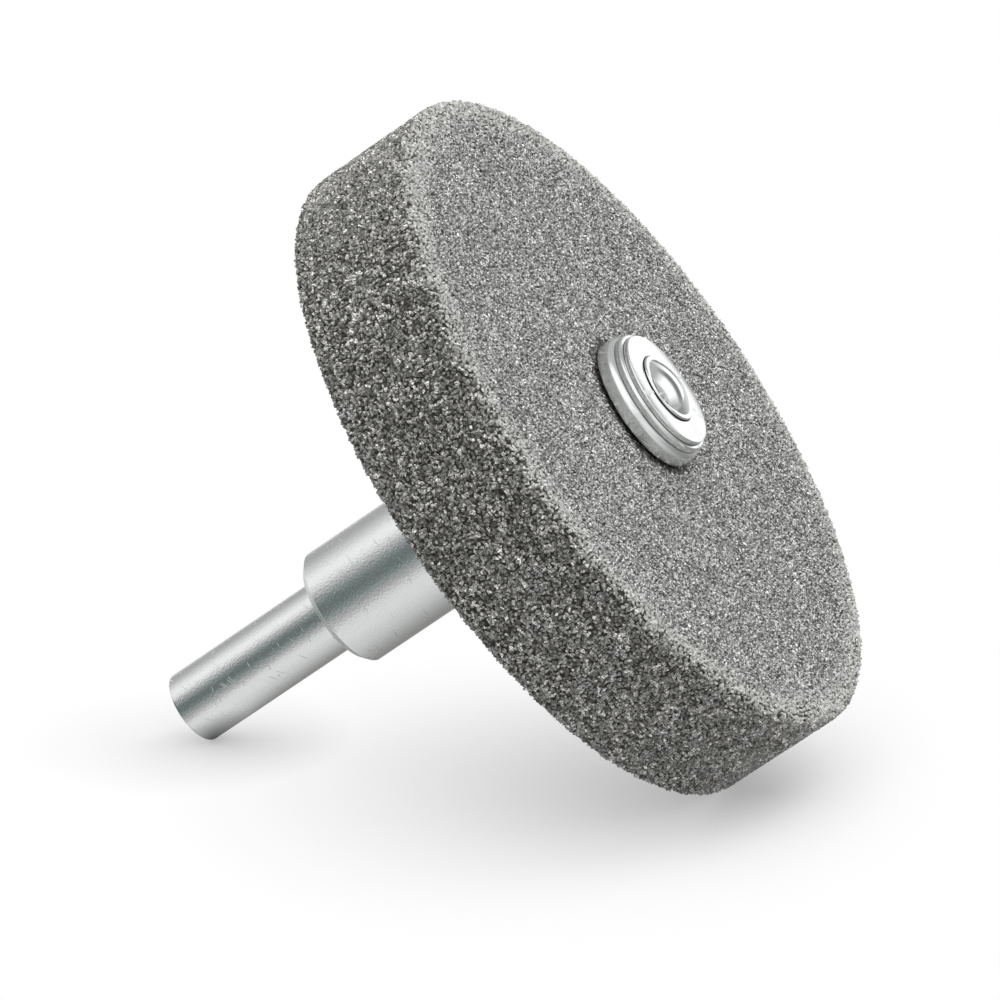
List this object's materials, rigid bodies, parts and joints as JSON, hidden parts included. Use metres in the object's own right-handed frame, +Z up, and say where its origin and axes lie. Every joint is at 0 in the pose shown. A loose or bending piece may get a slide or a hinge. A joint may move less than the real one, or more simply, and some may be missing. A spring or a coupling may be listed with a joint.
{
  "type": "mounted grinding stone",
  "caption": "Flat cylindrical grinding stone riveted to a turned steel spindle, with a thick collar behind it and a plain round shank for a drill chuck.",
  "frame": {"origin": "on the floor under the middle of the object's box, as it lies on the stone's back edge and the shank's tip", "axes": "+Z up; the tool's axis lies in the XZ plane and rises towards +X, from the shank's tip to the riveted head; +Y across the stone"},
  "size_m": [0.0724, 0.075, 0.0686],
  "materials": {
    "abrasive": "coarse bonded grit",
    "spindle_steel": "turned and zinc plated, bright",
    "washer_steel": "zinc plated, bright"
  },
  "bodies": {
    "root": {"grinding_stone": "abrasive", "spindle": "spindle_steel", "lower_washer": "washer_steel", "upper_washer": "washer_steel"}
  },
  "joints": []
}
